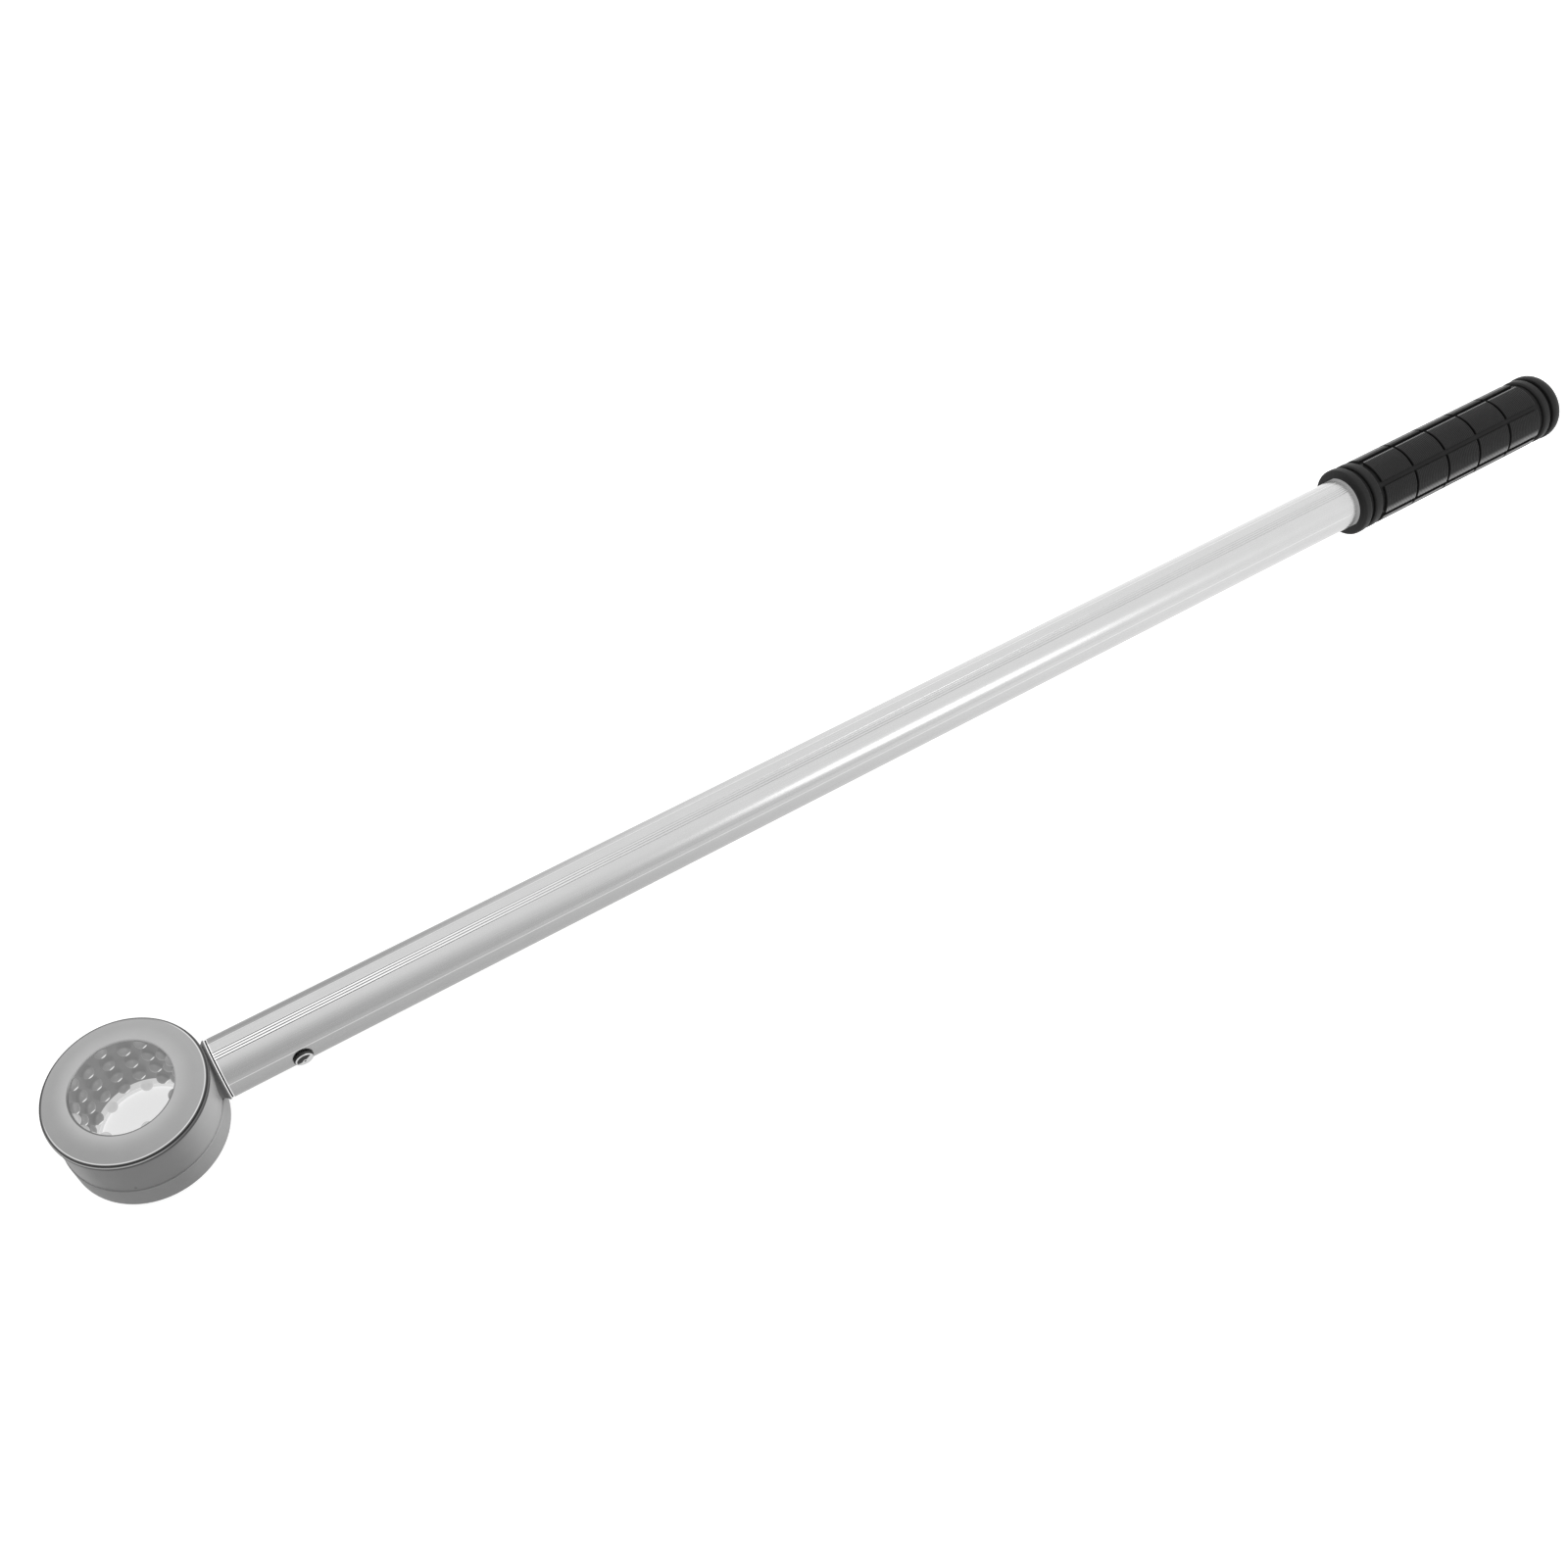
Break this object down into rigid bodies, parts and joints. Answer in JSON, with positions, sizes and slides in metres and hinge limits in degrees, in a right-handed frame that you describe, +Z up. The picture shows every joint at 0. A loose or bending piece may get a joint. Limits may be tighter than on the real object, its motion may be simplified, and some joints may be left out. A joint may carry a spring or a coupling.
{
  "type": "golf ball retriever",
  "caption": "Golf ball pick-up tool: a ring head with a nubbed soft lining that grips a ball, on a straight aluminium pole with a ribbed rubber grip.",
  "frame": {"origin": "on the ground plane under the middle of the object's length, on its plane of symmetry", "axes": "+X along the pole from the ring head to the grip, +Z up along the ring's hole"},
  "size_m": [0.8798, 0.0698, 0.045],
  "materials": {
    "housing_plastic": "smoky frosted moulded plastic",
    "cover_plastic": "frosted satin moulded plastic",
    "base_plastic": "smoky frosted moulded plastic",
    "soft_sleeve": "soft satin elastomer with round nubs",
    "black_gasket": "matt",
    "pole_aluminium": "satin anodised extrusion with fine lengthwise lines",
    "screw_chrome": "bright plated",
    "plug_plastic": "matt",
    "grip_rubber": "ribbed matt black rubber"
  },
  "bodies": {
    "root": {"head_housing": "housing_plastic", "top_cover": "cover_plastic", "base_cover": "base_plastic", "gripper_sleeve": "soft_sleeve", "neck_gasket": "black_gasket", "pole_tube": "pole_aluminium", "neck_screw": "screw_chrome", "pole_end_plug": "plug_plastic", "rubber_grip": "grip_rubber"}
  },
  "joints": []
}
